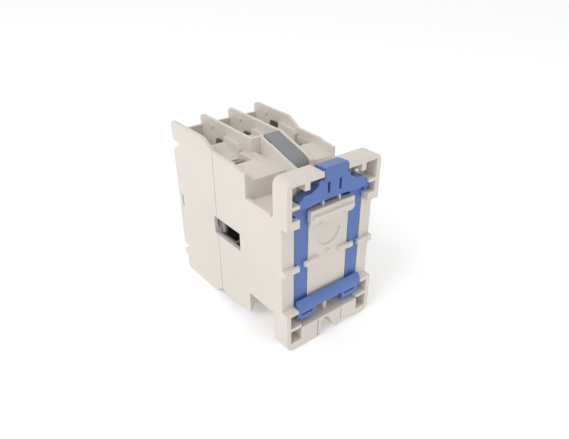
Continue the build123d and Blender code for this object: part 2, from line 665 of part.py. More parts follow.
# ---- rail slider ----
def make_din_clip():
    y0, y1 = PLATE_T
    half = [(0, 34.0), (5.4, 34.0), (7.4, 33.2), (7.6, 31.6), (10.8, 29.9), (14.2, 29.7), (15.6, 28.3),
            (16.4, 28.1), (16.4, 25.0), (12.6, 24.6), (10.9, 24.8), (5.8, 25.3), (0, 25.4)]
    plate = slab_y(half + [(-x, z) for x, z in half[-2:0:-1]], y0, y1)
    thumb = slab_x([(-6.2, 37.4), (-5.6, 37.7), (-0.3, 38.1), (-0.3, 33.0), (y0, 33.0), (y0, 34.6),
                    (-6.2, 35.6)], -5.4, 5.4)
    slots = left_right(box(2.2, 3.4, y1 - 1.2, y1 + 1, 27.7, 32.0))
    arm_y = (SLIDER_Y - ARM_T, SLIDER_Y)
    arms = left_right(box(ARM_X[0], ARM_X[1], *arm_y, -18.0, 25.4))
    blend = left_right(box(ARM_X[0], 16.4, arm_y[0], y1 - 1.2, 24.9, 27.6))
    bar = slab_x([(arm_y[0], -17.8), (-1.95, -17.8), (-1.95, -15.4), (-1.2, -15.9), (-0.5, -17.2),
                  (-0.2, -19.0), (-0.4, -20.8), (-1.4, -21.9), (arm_y[0], -21.9)], -ARM_X[1], ARM_X[1])
    bar -= box(-ARM_X[0], ARM_X[0], arm_y[0] - 1, SEAT_Y + GAP, -22, -10)
    foot = slab_x([(-3.2, -21.4), (-1.0, -21.4), (-1.0, -24.6), (-1.6, -25.4), (-3.2, -25.4)], 7.2, 14.9)
    foot += box(14.9, 16.3, -3.2, -1.0, -23.6, -21.4)
    foot -= box(8.6, 14.4, -4, 0, -22.8, -22.1)
    under = box(-5.3, 5.3, y0 - 1, PLATE_LIP_Y, 25, HOOK_Z + 5.6)
    return plate + thumb + arms + blend + bar + left_right(foot) - slots - under


def make_clip_leaf_springs():
    """The slider's two springy side wedges, which ride on lugs and push it back up."""
    outer = ARM_X[1]
    wedge = slab_y([(outer, 26.0), (19.9, 26.0), (19.7, 24.4), (17.9, 22.9), (outer, 21.8)], -4.4, -1.9)
    return Compound(children=[wedge, wedge.mirror(Plane.YZ)])


def main():
    parts = {
        "base_housing": make_base_housing(),
        "contact_housing": make_contact_housing(),
        "front_cover": make_front_cover(),
        "housing_screws": make_housing_screws(),
        "fixed_core": make_fixed_core(),
        "fixed_core_rivets": make_rivets(fixed_rivet_places()),
        "shading_rings": make_shading_rings(),
        "core_cushion": make_core_cushion(),
        "coil_bobbin": make_coil_bobbin(),
        "coil_winding": make_coil_winding(),
        "coil_tape": make_coil_tape(),
        "coil_terminal_a1": make_coil_terminal(True),
        "coil_terminal_a2": make_coil_terminal(False),
        "moving_core": make_moving_core(),
        "moving_core_rivets": make_rivets(moving_rivet_places()),
        "armature_cushion": make_armature_cushion(),
        "armature_pin": make_armature_pin(),
        "contact_carrier": make_contact_carrier(),
        "return_springs": Compound(children=[
            coil_spring(x, 0, 2.3, 0.3, -53.6, COIL_FRONT - 1.4, 6) for x in (-RETURN_X, RETURN_X)]),
        "power_contact_tips": make_power_tips(),
        "power_screws": make_power_screws(),
        "power_clamp_plates": make_power_clamps(),
        "aux_contact_13": make_aux_contact(True),
        "aux_contact_14": make_aux_contact(False),
        "aux_contact_tips": make_aux_tips(),
        "aux_bridge": make_aux_bridge(),
        "aux_bridge_tips": make_aux_bridge_tips(),
        "aux_contact_spring": coil_spring(AUX_X, 0, 1.7, 0.25, aux_window_front, aux_bridge_front, 4),
        "control_screws": make_control_screws(),
        "control_clamp_plates": make_control_washers(),
        "din_clip": make_din_clip(),
        "clip_leaf_springs": make_clip_leaf_springs(),
    }
    for number, x in enumerate(reversed(poles), start=1):
        parts[f"line_contact_{number}"] = make_power_contact(x, True)
        parts[f"load_contact_{number}"] = make_power_contact(x, False)
        parts[f"bridge_{number}"] = make_bridge(x)
        parts[f"bridge_tips_{number}"] = make_bridge_tips(x)
        parts[f"contact_spring_{number}"] = coil_spring(x, 0, 2.2, 0.3, window_front, bridge_front, 5)
    os.makedirs("parts", exist_ok=True)
    for name, shape in parts.items():
        export_step(shape, f"parts/{name}.step")


main()
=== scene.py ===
import json
import math

import bmesh
import bpy
from mathutils import Matrix, Vector


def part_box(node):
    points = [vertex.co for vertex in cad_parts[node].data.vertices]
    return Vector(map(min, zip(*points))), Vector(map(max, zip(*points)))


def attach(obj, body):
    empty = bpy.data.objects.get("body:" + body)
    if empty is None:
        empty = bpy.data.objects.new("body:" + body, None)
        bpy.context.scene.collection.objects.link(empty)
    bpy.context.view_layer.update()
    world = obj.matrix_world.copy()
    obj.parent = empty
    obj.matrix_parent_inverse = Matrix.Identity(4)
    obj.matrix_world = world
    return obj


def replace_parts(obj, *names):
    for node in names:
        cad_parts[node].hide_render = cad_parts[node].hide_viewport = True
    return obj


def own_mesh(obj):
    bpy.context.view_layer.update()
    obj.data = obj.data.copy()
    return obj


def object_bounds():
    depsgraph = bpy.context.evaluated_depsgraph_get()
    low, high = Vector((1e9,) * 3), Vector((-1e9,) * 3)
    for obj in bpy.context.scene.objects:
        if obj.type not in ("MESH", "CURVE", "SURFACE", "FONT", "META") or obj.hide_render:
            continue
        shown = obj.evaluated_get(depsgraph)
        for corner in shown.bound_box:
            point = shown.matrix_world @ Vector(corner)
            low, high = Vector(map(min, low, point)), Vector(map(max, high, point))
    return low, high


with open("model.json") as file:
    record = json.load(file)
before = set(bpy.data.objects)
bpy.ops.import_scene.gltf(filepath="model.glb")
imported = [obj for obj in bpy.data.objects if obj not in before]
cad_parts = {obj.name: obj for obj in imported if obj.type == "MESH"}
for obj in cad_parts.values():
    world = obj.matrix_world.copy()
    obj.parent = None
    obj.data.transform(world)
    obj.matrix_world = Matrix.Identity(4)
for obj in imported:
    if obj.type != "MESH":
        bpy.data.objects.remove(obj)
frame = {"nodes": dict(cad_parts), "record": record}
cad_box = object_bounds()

# Looks for a three pole contactor with a sliding rail catch. Metres; the rear plane is Y = 0,
# the front looks along -Y and Z is up.

MM = 0.001
ROUNDED_WIDTH = 0.35 * MM     # faces narrower than this belong to a rounded edge
SHARP_TURN = 40.0             # degrees; an edge that turns more stays sharp and wears fully
nodes = frame["nodes"]
record = frame["record"]
slot_of = {s["node"]: s["material_slot"] for s in record["subparts"]}
body_of = {n: b for b, group in record["behaviour"]["bodies"].items() for n in group}


# ------------------------------------------------------------------ shader node groups
def new_group(name, inputs, outputs):
    """A shader node group with float inputs {name: default} and outputs [(name, kind)]."""
    group = bpy.data.node_groups.new(name, "ShaderNodeTree")
    for label, value in inputs.items():
        socket = group.interface.new_socket(name=label, in_out="INPUT", socket_type="NodeSocketFloat")
        socket.default_value = value
    for label, kind in outputs:
        group.interface.new_socket(name=label, in_out="OUTPUT", socket_type=kind)
    return group, group.nodes.new("NodeGroupInput"), group.nodes.new("NodeGroupOutput")


def math_node(tree, operation, first, second=0.0, clamp=False):
    node = tree.nodes.new("ShaderNodeMath")
    node.operation = operation
    node.use_clamp = clamp
    for socket, value in zip(node.inputs, (first, second)):
        if isinstance(value, (int, float)):
            socket.default_value = value
        else:
            tree.links.new(value, socket)
    return node.outputs[0]


def noise(tree, scale, detail, vector, rough=0.5):
    node = tree.nodes.new("ShaderNodeTexNoise")
    node.inputs["Detail"].default_value = detail
    node.inputs["Roughness"].default_value = rough
    if isinstance(scale, (int, float)):
        node.inputs["Scale"].default_value = scale
    else:
        tree.links.new(scale, node.inputs["Scale"])
    tree.links.new(vector, node.inputs["Vector"])
    return node.outputs["Fac"]


def object_point(tree):
    return tree.nodes.new("ShaderNodeTexCoord").outputs["Object"]


def spark_grain_group():
    """Fine grain that a spark eroded mould leaves on plastic, with a slow unevenness under it."""
    group, given, out = new_group(
        "spark_grain", {"Scale": 5200.0, "Unevenness": 0.25}, [("Height", "NodeSocketFloat")])
    point = object_point(group)
    fine = noise(group, given.outputs["Scale"], 3.0, point, 0.6)
    slow = noise(group, 70.0, 2.0, point)
    slow = math_node(group, "MULTIPLY", slow, given.outputs["Unevenness"])
    group.links.new(math_node(group, "ADD", fine, slow), out.inputs["Height"])
    return group


def handling_group():
    """Masks of how a moulding ages: soft mottle, dust in hollows and rub along edges."""
    group, given, out = new_group(
        "handling", {"Mottle Scale": 34.0, "Rub": 0.6},
        [("Mottle", "NodeSocketFloat"), ("Rub", "NodeSocketFloat"), ("Dust", "NodeSocketFloat")])
    point = object_point(group)
    broad = noise(group, given.outputs["Mottle Scale"], 4.0, point, 0.55)
    group.links.new(broad, out.inputs["Mottle"])
    edge = group.nodes.new("ShaderNodeAttribute")
    edge.attribute_name = "edge_rub"
    patches = noise(group, 420.0, 4.0, point, 0.65)
    rub = math_node(group, "MULTIPLY", edge.outputs["Fac"], patches)
    rub = math_node(group, "MULTIPLY", rub, given.outputs["Rub"], clamp=True)
    group.links.new(rub, out.inputs["Rub"])
    hollow = group.nodes.new("ShaderNodeAttribute")
    hollow.attribute_name = "hollow"
    dust = math_node(group, "MULTIPLY", hollow.outputs["Fac"], noise(group, 160.0, 3.0, point))
    group.links.new(dust, out.inputs["Dust"])
    return group


def drawn_lines_group():
    """Long scratches that rolling or drawing leaves along one direction of a metal."""
    group, given, out = new_group(
        "drawn_lines", {"Scale": 900.0, "Stretch": 14.0}, [("Lines", "NodeSocketFloat")])
    stretch = group.nodes.new("ShaderNodeCombineXYZ")
    stretch.inputs["X"].default_value = 1.0
    stretch.inputs["Y"].default_value = 1.0
    group.links.new(math_node(group, "DIVIDE", 1.0, given.outputs["Stretch"]), stretch.inputs["Z"])
    scaled = group.nodes.new("ShaderNodeVectorMath")
    scaled.operation = "MULTIPLY"
    group.links.new(object_point(group), scaled.inputs[0])
    group.links.new(stretch.outputs[0], scaled.inputs[1])
    lines = noise(group, given.outputs["Scale"], 5.0, scaled.outputs[0], 0.7)
    group.links.new(lines, out.inputs["Lines"])
    return group


GROUPS = {"grain": spark_grain_group(), "handling": handling_group(), "lines": drawn_lines_group()}


def place_group(tree, key, **values):
    node = tree.nodes.new("ShaderNodeGroup")
    node.node_tree = GROUPS[key]
    for label, value in values.items():
        node.inputs[label.replace("_", " ")].default_value = value
    return node


def ramp(tree, factor, low, high, low_at=0.3, high_at=0.7):
    """Colour or grey ramp between two values over a factor."""
    node = tree.nodes.new("ShaderNodeValToRGB")
    tree.links.new(factor, node.inputs["Fac"])
    for element, place, value in zip(node.color_ramp.elements, (low_at, high_at), (low, high)):
        element.position = place
        element.color = (value, value, value, 1) if isinstance(value, float) else (*value, 1)
    return node.outputs["Color"]


def mix(tree, factor, first, second):
    node = tree.nodes.new("ShaderNodeMix")
    node.data_type = "RGBA"
    tree.links.new(factor, node.inputs["Factor"])
    for socket, value in ((node.inputs[6], first), (node.inputs[7], second)):
        if isinstance(value, tuple):
            socket.default_value = (*value, 1)
        else:
            tree.links.new(value, socket)
    return node.outputs[2]


def start_material(name):
    material = bpy.data.materials.new(name)
    material.use_nodes = True
    shader = material.node_tree.nodes["Principled BSDF"]
    return material, material.node_tree, shader


def bump(tree, shader, height, strength, distance):
    node = tree.nodes.new("ShaderNodeBump")
    node.inputs["Strength"].default_value = strength
    node.inputs["Distance"].default_value = distance
    tree.links.new(height, node.inputs["Height"])
    tree.links.new(node.outputs["Normal"], shader.inputs["Normal"])


def moulded_plastic(name, deep, pale, rub_colour, dust_colour, rough=(0.42, 0.56), grain=0.22,
                    specular=0.42, rub=0.6, dust=0.5):
    """Injection moulded plastic: mottled colour, grain, pale rubbed edges and dust in the hollows."""
    material, tree, shader = start_material(name)
    aging = place_group(tree, "handling", Rub=rub)
    colour = ramp(tree, aging.outputs["Mottle"], deep, pale)
    colour = mix(tree, aging.outputs["Rub"], colour, rub_colour)
    dusty = math_node(tree, "MULTIPLY", aging.outputs["Dust"], dust)
    colour = mix(tree, dusty, colour, dust_colour)
    tree.links.new(colour, shader.inputs["Base Color"])
    tree.links.new(ramp(tree, aging.outputs["Mottle"], *rough), shader.inputs["Roughness"])
    shader.inputs["Specular IOR Level"].default_value = specular
    grained = place_group(tree, "grain")
    bump(tree, shader, grained.outputs["Height"], grain, 0.00006)
    return material


def worked_metal(name, deep, pale, rough=(0.28, 0.46), scale=900.0, stretch=14.0, bump_strength=0.25):
    """Bare or plated metal with lines from rolling, drawing or turning."""
    material, tree, shader = start_material(name)
    lines = place_group(tree, "lines", Scale=scale, Stretch=stretch)
    aging = place_group(tree, "handling", Rub=0.5)
    colour = ramp(tree, lines.outputs["Lines"], deep, pale)
    colour = mix(tree, aging.outputs["Rub"], colour, tuple(min(1.0, c * 1.25) for c in pale))
    tree.links.new(colour, shader.inputs["Base Color"])
    tree.links.new(ramp(tree, lines.outputs["Lines"], *rough), shader.inputs["Roughness"])
    shader.inputs["Metallic"].default_value = 1.0
    bump(tree, shader, lines.outputs["Lines"], bump_strength, 0.00003)
    return material


def layered_tape():
    """Dark insulating tape: faint wound edges across it and a soft gloss."""
    material, tree, shader = start_material("insulating_tape")
    aging = place_group(tree, "handling", Rub=0.2)
    tree.links.new(ramp(tree, aging.outputs["Mottle"], (0.026, 0.028, 0.055), (0.060, 0.066, 0.110)),
                   shader.inputs["Base Color"])
    wave = tree.nodes.new("ShaderNodeTexWave")
    wave.bands_direction = "Y"
    wave.inputs["Scale"].default_value = 60.0
    wave.inputs["Distortion"].default_value = 1.4
    tree.links.new(object_point(tree), wave.inputs["Vector"])
    tree.links.new(ramp(tree, wave.outputs["Fac"], 0.24, 0.38), shader.inputs["Roughness"])
    bump(tree, shader, wave.outputs["Fac"], 0.35, 0.00008)
    return material


def pad_rubber():
    material, tree, shader = start_material("pad_rubber")
    speckle = noise(tree, 1500.0, 3.0, object_point(tree))
    tree.links.new(ramp(tree, speckle, 0.018, 0.05), shader.inputs["Base Color"])
    tree.links.new(ramp(tree, speckle, 0.7, 0.9), shader.inputs["Roughness"])
    bump(tree, shader, speckle, 0.3, 0.00005)
    return material


MATERIALS = {
    "ivory_plastic": moulded_plastic(
        "ivory_plastic", (0.664, 0.617, 0.562), (0.724, 0.675, 0.617), (0.82, 0.785, 0.72),
        (0.46, 0.42, 0.35)),
    "blue_plastic": moulded_plastic(
        "blue_plastic", (0.076, 0.150, 0.420), (0.095, 0.182, 0.480), (0.20, 0.30, 0.64),
        (0.05, 0.08, 0.25), rough=(0.30, 0.42), grain=0.15, specular=0.5, rub=0.8),
    "grey_plastic": moulded_plastic(
        "grey_plastic", (0.245, 0.240, 0.250), (0.290, 0.285, 0.300), (0.42, 0.41, 0.41),
        (0.16, 0.15, 0.14), rough=(0.5, 0.64), grain=0.3),
    "dark_plastic": moulded_plastic(
        "dark_plastic", (0.030, 0.027, 0.025), (0.046, 0.042, 0.040), (0.10, 0.09, 0.085),
        (0.07, 0.065, 0.06), rough=(0.45, 0.6), grain=0.3),
    "dark_tape": layered_tape(),
    "copper": worked_metal("copper_alloy", (0.68, 0.33, 0.17), (0.84, 0.47, 0.28)),
    "brass_strip": worked_metal("brass_strip", (0.62, 0.46, 0.19), (0.80, 0.63, 0.33)),
    "silver": worked_metal("silver_alloy", (0.70, 0.69, 0.66), (0.88, 0.87, 0.85), (0.22, 0.36)),
    "zinc_steel": worked_metal("zinc_plate", (0.50, 0.50, 0.47), (0.72, 0.71, 0.66), (0.24, 0.42),
                               1300.0, 4.0),
    # painted shade: the dark_steel slot is a brownish dark metal whose colour stands in for the shade on the
    # terminal metal deep in the housing holes
    "dark_steel": worked_metal("dark_steel", (0.15, 0.135, 0.105), (0.26, 0.24, 0.19), (0.34, 0.52)),
    "spring_steel": worked_metal("spring_wire", (0.20, 0.20, 0.21), (0.34, 0.34, 0.36), (0.3, 0.45)),
    "laminated_steel": worked_metal("core_sheet", (0.23, 0.22, 0.215), (0.42, 0.41, 0.40), (0.36, 0.55)),
    "rubber_pad": pad_rubber(),
}


# ------------------------------------------------------------------ mesh helpers
TOOLS = []                    # cutters in use, removed once their result is taken


def add_object(name, mesh, node=None, body=None, slot=None):
    """Links a finished mesh, and hangs it on its body. With a node it stands for that node."""
    piece = bpy.data.objects.new(name, mesh)
    bpy.context.scene.collection.objects.link(piece)
    slot = slot or slot_of[node]
    if not mesh.materials:
        mesh.materials.append(MATERIALS[slot])
    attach(piece, body or body_of[node])
    return piece


def merged_copy(node):
    """A node's mesh with its loose triangles joined and its flat faces made whole."""
    made = bmesh.new()
    made.from_mesh(nodes[node].data)
    bmesh.ops.remove_doubles(made, verts=made.verts, dist=2e-6)
    bmesh.ops.dissolve_degenerate(made, dist=1e-6, edges=made.edges)
    bmesh.ops.dissolve_limit(made, angle_limit=math.radians(0.6), verts=made.verts, edges=made.edges)
    return made


def applied(name, mesh, modifiers):
    """Runs a list of modifier makers on a mesh and returns the plain result."""
    work = bpy.data.objects.new(name + "_work", mesh)
    bpy.context.scene.collection.objects.link(work)
    for make in modifiers:
        make(work)
    graph = bpy.context.evaluated_depsgraph_get()
    done = bpy.data.meshes.new_from_object(work.evaluated_get(graph))
    bpy.data.objects.remove(work)
    while TOOLS:
        bpy.data.objects.remove(TOOLS.pop())
    done.name = name
    return done


def bevel(width, segments=2, angle=28.0):
    def make(work):
        modifier = work.modifiers.new("rounding", "BEVEL")
        modifier.width = width
        modifier.segments = segments
        modifier.limit_method = "ANGLE"
        modifier.angle_limit = math.radians(angle)
        modifier.use_clamp_overlap = True
        modifier.harden_normals = False
        modifier.miter_outer = "MITER_ARC"
    return make


def even_normals(work):
    """Lets the big flat faces lead the shading, so that only the rounded edges look curved."""
    modifier = work.modifiers.new("even_normals", "WEIGHTED_NORMAL")
    modifier.weight = 100
    modifier.keep_sharp = True


def shade_smooth(mesh, angle=32.0):
    mesh.polygons.foreach_set("use_smooth", [True] * len(mesh.polygons))
    mesh.update()
    mesh.set_sharp_from_angle(angle=math.radians(angle))


def mark_wear(mesh):
    """Writes two masks on the narrow faces of rounded edges: edge_rub outward and hollow inward."""
    made = bmesh.new()
    made.from_mesh(mesh)
    rub = [0.0] * len(made.verts)
    hollow = [0.0] * len(made.verts)
    for edge in made.edges:
        if len(edge.link_faces) != 2:
            continue
        turn = edge.calc_face_angle_signed(0.0)
        share = min(1.0, abs(turn) / math.radians(SHARP_TURN))
        target = rub if turn > 0 else hollow
        for vert in edge.verts:
            target[vert.index] = max(target[vert.index], share)
    rows = {"edge_rub": [], "hollow": []}
    for face in made.faces:
        narrow = face.calc_area() < ROUNDED_WIDTH * max(edge.calc_length() for edge in face.edges)
        for name, marks in (("edge_rub", rub), ("hollow", hollow)):
            rows[name] += [marks[vert.index] if narrow else 0.0 for vert in face.verts]
    made.free()
    for name, values in rows.items():
        layer = mesh.attributes.new(name, "FLOAT", "CORNER")
        layer.data.foreach_set("value", values)


def moulding(node, name, width, segments=2):
    """A housing or other moulding with its edges rounded."""
    made = merged_copy(node)
    mesh = bpy.data.meshes.new(name)
    made.to_mesh(mesh)
    made.free()
    mesh = applied(name, mesh, [bevel(width, segments)])
    shade_smooth(mesh, SHARP_TURN)
    mesh = applied(name, mesh, [even_normals])
    mesh.materials.clear()
    mark_wear(mesh)
    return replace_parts(add_object(name, mesh, node), node)


# ------------------------------------------------------------------ mouldings and plain metal parts
def make_mouldings():
    for node, name, width in (("base_housing", "base_moulding", 0.22),
                              ("contact_housing", "front_moulding", 0.22),
                              ("front_cover", "cover_moulding", 0.15),
                              ("coil_bobbin", "coil_former", 0.2),
                              ("din_clip", "rail_slider", 0.25),
                              ("contact_carrier", "carrier_moulding", 0.2)):
        moulding(node, name, width * MM)


def make_pressed_parts():
    """Strips, clamps, bridges, rings, pads and pins: CAD shapes with the edges a press or a lathe leaves."""
    rows = [("power_clamp_plates", "saddle_clamps", 0.12),
            ("control_clamp_plates", "small_clamp_plates", 0.12),
            ("coil_terminal_a1", "coil_strip_upper", 0.10), ("coil_terminal_a2", "coil_strip_lower", 0.10),
            ("aux_contact_13", "aux_strip_upper", 0.10), ("aux_contact_14", "aux_strip_lower", 0.10),
            ("aux_bridge", "aux_bridge_bar", 0.12), ("shading_rings", "shading_ring_pair", 0.15),
            ("core_cushion", "core_pad", 0.15), ("armature_cushion", "armature_pad", 0.12),
            ("armature_pin", "armature_pin_turned", 0.15), ("coil_tape", "coil_wrap", 0.05)]
    for number in (1, 2, 3):
        rows += [(f"line_contact_{number}", f"line_strip_{number}", 0.12),
                 (f"load_contact_{number}", f"load_strip_{number}", 0.12),
                 (f"bridge_{number}", f"bridge_bar_{number}", 0.14)]
    for node, name, width in rows:
        moulding(node, name, width * MM)


# ------------------------------------------------------------------ geometry node trees
def tree_group(name, inputs):
    """A geometry tree with a Geometry input and output and the named inputs {name: (kind, default)}."""
    group = bpy.data.node_groups.new(name, "GeometryNodeTree")
    group.interface.new_socket(name="Geometry", in_out="INPUT", socket_type="NodeSocketGeometry")
    group.interface.new_socket(name="Geometry", in_out="OUTPUT", socket_type="NodeSocketGeometry")
    for label, (kind, value) in inputs.items():
        socket = group.interface.new_socket(name=label, in_out="INPUT", socket_type="NodeSocket" + kind)
        if value is not None:
            socket.default_value = value
    return group, group.nodes.new("NodeGroupInput"), group.nodes.new("NodeGroupOutput")


def random_vector(group, reach, seed):
    """A random vector between minus and plus the given reach, for each point."""
    least = group.nodes.new("ShaderNodeVectorMath")
    least.operation = "SCALE"
    least.inputs["Scale"].default_value = -1.0
    group.links.new(reach, least.inputs[0])
    value = group.nodes.new("FunctionNodeRandomValue")
    value.data_type = "FLOAT_VECTOR"
    group.links.new(least.outputs[0], value.inputs["Min"])
    group.links.new(reach, value.inputs["Max"])
    group.links.new(seed, value.inputs["Seed"])
    return value.outputs["Value"]


def finish_tree(group, geometry, material, out):
    """Realize Instances and Set Material, which end each tree."""
    solid = group.nodes.new("GeometryNodeRealizeInstances")
    group.links.new(geometry, solid.inputs[0])
    coat = group.nodes.new("GeometryNodeSetMaterial")
    group.links.new(solid.outputs[0], coat.inputs["Geometry"])
    group.links.new(material, coat.inputs["Material"])
    group.links.new(coat.outputs[0], out.inputs["Geometry"])


def spread_tree():
    """A copy of the source on each point, turned and shifted a little at random."""
    group, given, out = tree_group("spread_copies", {
        "Source": ("Object", None), "Turn": ("Vector", (0, 0, 0)), "Shift": ("Vector", (0, 0, 0)),
        "Seed": ("Int", 1), "Finish": ("Material", None)})
    source = group.nodes.new("GeometryNodeObjectInfo")
    source.inputs["As Instance"].default_value = True
    group.links.new(given.outputs["Source"], source.inputs["Object"])
    copies = group.nodes.new("GeometryNodeInstanceOnPoints")
    group.links.new(given.outputs["Geometry"], copies.inputs["Points"])
    group.links.new(source.outputs["Geometry"], copies.inputs["Instance"])
    spin = random_vector(group, given.outputs["Turn"], given.outputs["Seed"])
    group.links.new(spin, copies.inputs["Rotation"])
    moved = group.nodes.new("GeometryNodeTranslateInstances")
    group.links.new(copies.outputs[0], moved.inputs[0])
    group.links.new(random_vector(group, given.outputs["Shift"], given.outputs["Seed"]),
                    moved.inputs["Translation"])
    finish_tree(group, moved.outputs[0], given.outputs["Finish"], out)
    return group


def spring_tree():
    """A round wire spring on each point: live turns between two closed ends, running towards +Y."""
    group, given, out = tree_group("wound_spring", {
        "Radius": ("Float", 0.002), "Wire": ("Float", 0.0003), "Length": ("Float", 0.01),
        "Turns": ("Float", 5.0), "Finish": ("Material", None)})
    closed = math_node(group, "MULTIPLY", given.outputs["Wire"], 2.0)
    live = math_node(group, "SUBTRACT", given.outputs["Length"], math_node(group, "MULTIPLY", closed, 3.0))
    joined = group.nodes.new("GeometryNodeJoinGeometry")
    start = given.outputs["Wire"]
    for turns, height in ((1.0, closed), (given.outputs["Turns"], live), (1.0, closed)):
        spiral = group.nodes.new("GeometryNodeCurveSpiral")
        spiral.inputs["Resolution"].default_value = 28
        radius = given.outputs["Radius"]
        for label, value in (("Rotations", turns), ("Height", height),
                             ("Start Radius", radius), ("End Radius", radius)):
            if isinstance(value, float):
                spiral.inputs[label].default_value = value
            else:
                group.links.new(value, spiral.inputs[label])
        lifted = group.nodes.new("GeometryNodeTransform")
        rise = group.nodes.new("ShaderNodeCombineXYZ")
        group.links.new(start, rise.inputs["Z"])
        group.links.new(rise.outputs[0], lifted.inputs["Translation"])
        group.links.new(spiral.outputs[0], lifted.inputs["Geometry"])
        group.links.new(lifted.outputs[0], joined.inputs[0])
        start = math_node(group, "ADD", start, height)
    section = group.nodes.new("GeometryNodeCurvePrimitiveCircle")
    section.inputs["Resolution"].default_value = 10
    group.links.new(given.outputs["Wire"], section.inputs["Radius"])
    wire = group.nodes.new("GeometryNodeCurveToMesh")
    wire.inputs["Fill Caps"].default_value = True
    group.links.new(joined.outputs[0], wire.inputs["Curve"])
    group.links.new(section.outputs[0], wire.inputs["Profile Curve"])
    laid = group.nodes.new("GeometryNodeTransform")
    laid.inputs["Rotation"].default_value = (-math.pi / 2, 0, 0)
    group.links.new(wire.outputs[0], laid.inputs["Geometry"])
    copies = group.nodes.new("GeometryNodeInstanceOnPoints")
    group.links.new(given.outputs["Geometry"], copies.inputs["Points"])
    group.links.new(laid.outputs[0], copies.inputs["Instance"])
    finish_tree(group, copies.outputs[0], given.outputs["Finish"], out)
    return group


SPREAD = spread_tree()
SPRING = spring_tree()


def run_tree(name, group, points, values):
    """Runs a tree on a mesh of loose points and returns the plain mesh."""
    mesh = bpy.data.meshes.new(name + "_points")
    mesh.from_pydata([tuple(p) for p in points], [], [])

    def make(work):
        modifier = work.modifiers.new("tree", "NODES")
        modifier.node_group = group
        for item in group.interface.items_tree:
            if item.in_out == "INPUT" and item.name in values:
                modifier[item.identifier] = values[item.name]
    return applied(name, mesh, [make])


def spread(name, node, source, points, turn=(0, 0, 0), shift=(0, 0, 0), seed=3):
    """Copies of a source mesh on points, as the piece that stands for a CAD node."""
    pattern = bpy.data.objects.new(name + "_pattern", source)
    bpy.context.scene.collection.objects.link(pattern)
    mesh = run_tree(name, SPREAD, points, {
        "Source": pattern, "Turn": turn, "Shift": shift, "Seed": seed, "Finish": MATERIALS[slot_of[node]]})
    bpy.data.objects.remove(pattern)
    shade_smooth(mesh, 38.0)
    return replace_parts(add_object(name, mesh, node), node)


# ------------------------------------------------------------------ shapes
def from_bmesh(name, made):
    bmesh.ops.recalc_face_normals(made, faces=made.faces)
    mesh = bpy.data.meshes.new(name)
    made.to_mesh(mesh)
    made.free()
    return mesh


def islands(node):
    """(low, high) corners of each separate solid of a CAD node, in a fixed order."""
    made = merged_copy(node)
    left = set(made.verts)
    boxes = []
    while left:
        stack = [left.pop()]
        group = []
        while stack:
            vert = stack.pop()
            group.append(vert.co.copy())
            for edge in vert.link_edges:
                other = edge.other_vert(vert)
                if other in left:
                    left.remove(other)
                    stack.append(other)
        boxes.append((Vector([min(c[i] for c in group) for i in range(3)]),
                      Vector([max(c[i] for c in group) for i in range(3)])))
    made.free()
    return sorted(boxes, key=lambda b: (round(b[0].x, 5), round(b[0].z, 5)))


def turned(name, profile, segments=36, thread=None):
    """A turned shape about the Y axis from (radius, y) rows. thread = (y from, y to, pitch, depth)."""
    made = bmesh.new()
    rows = []
    for radius, y in profile:
        if radius == 0:
            rows.append([made.verts.new((0, y, 0))])
            continue
        row = []
        for step in range(segments):
            angle = math.tau * step / segments
            r = radius
            if thread and thread[0] < y < thread[1]:
                phase = ((y / thread[2]) + step / segments) % 1.0
                r -= thread[3] * abs(2 * phase - 1)
            row.append(made.verts.new((r * math.cos(angle), y, r * math.sin(angle))))
        rows.append(row)
    for low, high in zip(rows, rows[1:]):
        for step in range(segments):
            ring = [low[step % len(low)], low[(step + 1) % len(low)], high[(step + 1) % len(high)],
                    high[step % len(high)]]
            face = list(dict.fromkeys(ring))
            if len(face) > 2:
                made.faces.new(face)
    return from_bmesh(name, made)


def cut_by(cutter):
    """Modifier maker: takes a cutter mesh away from the work."""
    def make(work):
        tool = bpy.data.objects.new("cutter", cutter)
        bpy.context.scene.collection.objects.link(tool)
        modifier = work.modifiers.new("cut", "BOOLEAN")
        modifier.operation = "DIFFERENCE"
        modifier.solver = "EXACT"
        modifier.object = tool
        TOOLS.append(tool)
    return make


def recess_cutter(reach, width, depth, top):
    """A slot across a screw's head with a shorter cross bar, cut down from 'top' along +Y."""
    made = bmesh.new()
    for half_x, half_z in ((reach * 1.2, width / 2), (width / 2, reach * 0.62)):
        bar = bmesh.ops.create_cube(made, size=1.0)["verts"]
        for vert in bar:
            at_floor = vert.co.y > 0
            taper = 0.82 if at_floor else 1.0
            vert.co = Vector((vert.co.x * 2 * half_x * taper, top + (depth if at_floor else -depth),
                              vert.co.z * 2 * half_z * taper))
    return from_bmesh("recess", made)


def screw_pattern(name, low, high, head, shank, head_height, slot_width):
    """A screw with a pan head, a slotted cross recess and a rolled thread, its axis through the origin."""
    length = high.y - low.y
    soft = head * 0.18
    bow = 0.12 * MM
    profile = [(0, 0), (head * 0.45, bow * 0.2), (head * 0.8, bow * 0.8),
               (head - soft * 0.3, bow + soft * 0.3), (head, bow + soft),
               (head, head_height - 0.08 * MM), (head - 0.08 * MM, head_height), (shank, head_height)]
    pitch = shank * 0.42
    rows = int((length - head_height) / (pitch / 4))
    profile += [(shank, head_height + (length - head_height) * (k + 1) / (rows + 1)) for k in range(rows)]
    profile += [(shank * 0.8, length), (0, length)]
    thread = (head_height + 0.1 * MM, length - 0.05 * MM, pitch, shank * 0.16)
    mesh = turned(name, profile, 40, thread)
    cutter = recess_cutter(head, slot_width, head_height * 0.42, 0.0)
    mesh = applied(name, mesh, [cut_by(cutter), bevel(0.04 * MM, 1, 50)])
    mark_wear(mesh)
    return mesh


